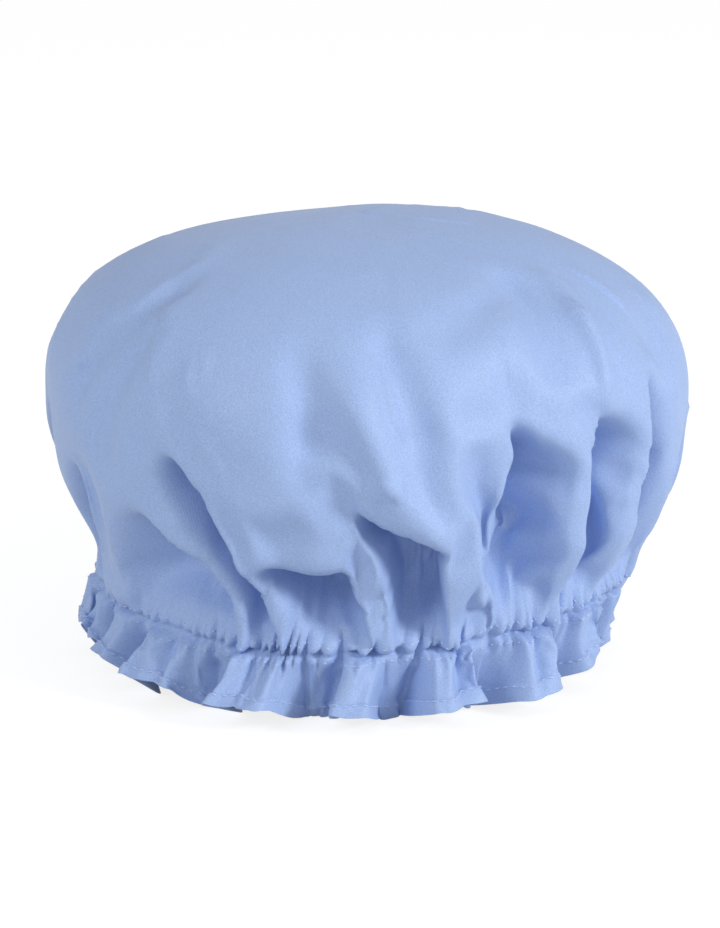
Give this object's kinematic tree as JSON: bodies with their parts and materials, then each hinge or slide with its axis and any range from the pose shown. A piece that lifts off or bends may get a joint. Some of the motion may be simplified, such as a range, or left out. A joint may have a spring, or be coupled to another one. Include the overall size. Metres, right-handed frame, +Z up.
{
  "type": "shower cap",
  "caption": "Frilled shower cap: a full cloth crown with a waterproof lining, drawn in by an elastic in a sewn casing above a gathered, hemmed frill.",
  "frame": {"origin": "on the surface that the frill's hem stands on, under the middle of the crown", "axes": "+Z up through the top of the crown; -Y towards the front of the cap as pictured; +X to the right of that view"},
  "size_m": [0.238, 0.238, 0.163],
  "materials": {
    "cloth": "satin woven",
    "lining": "frosted film",
    "elastic": "braided",
    "tape": "woven",
    "thread": "satin"
  },
  "bodies": {
    "root": {"crown_cloth": "cloth", "frill_cloth": "cloth", "waterproof_lining": "lining", "elastic_band": "elastic", "elastic_join_tack": "thread", "elastic_casing": "tape", "upper_casing_seam": "thread", "lower_casing_seam": "thread", "hem_seam": "thread"}
  },
  "joints": []
}
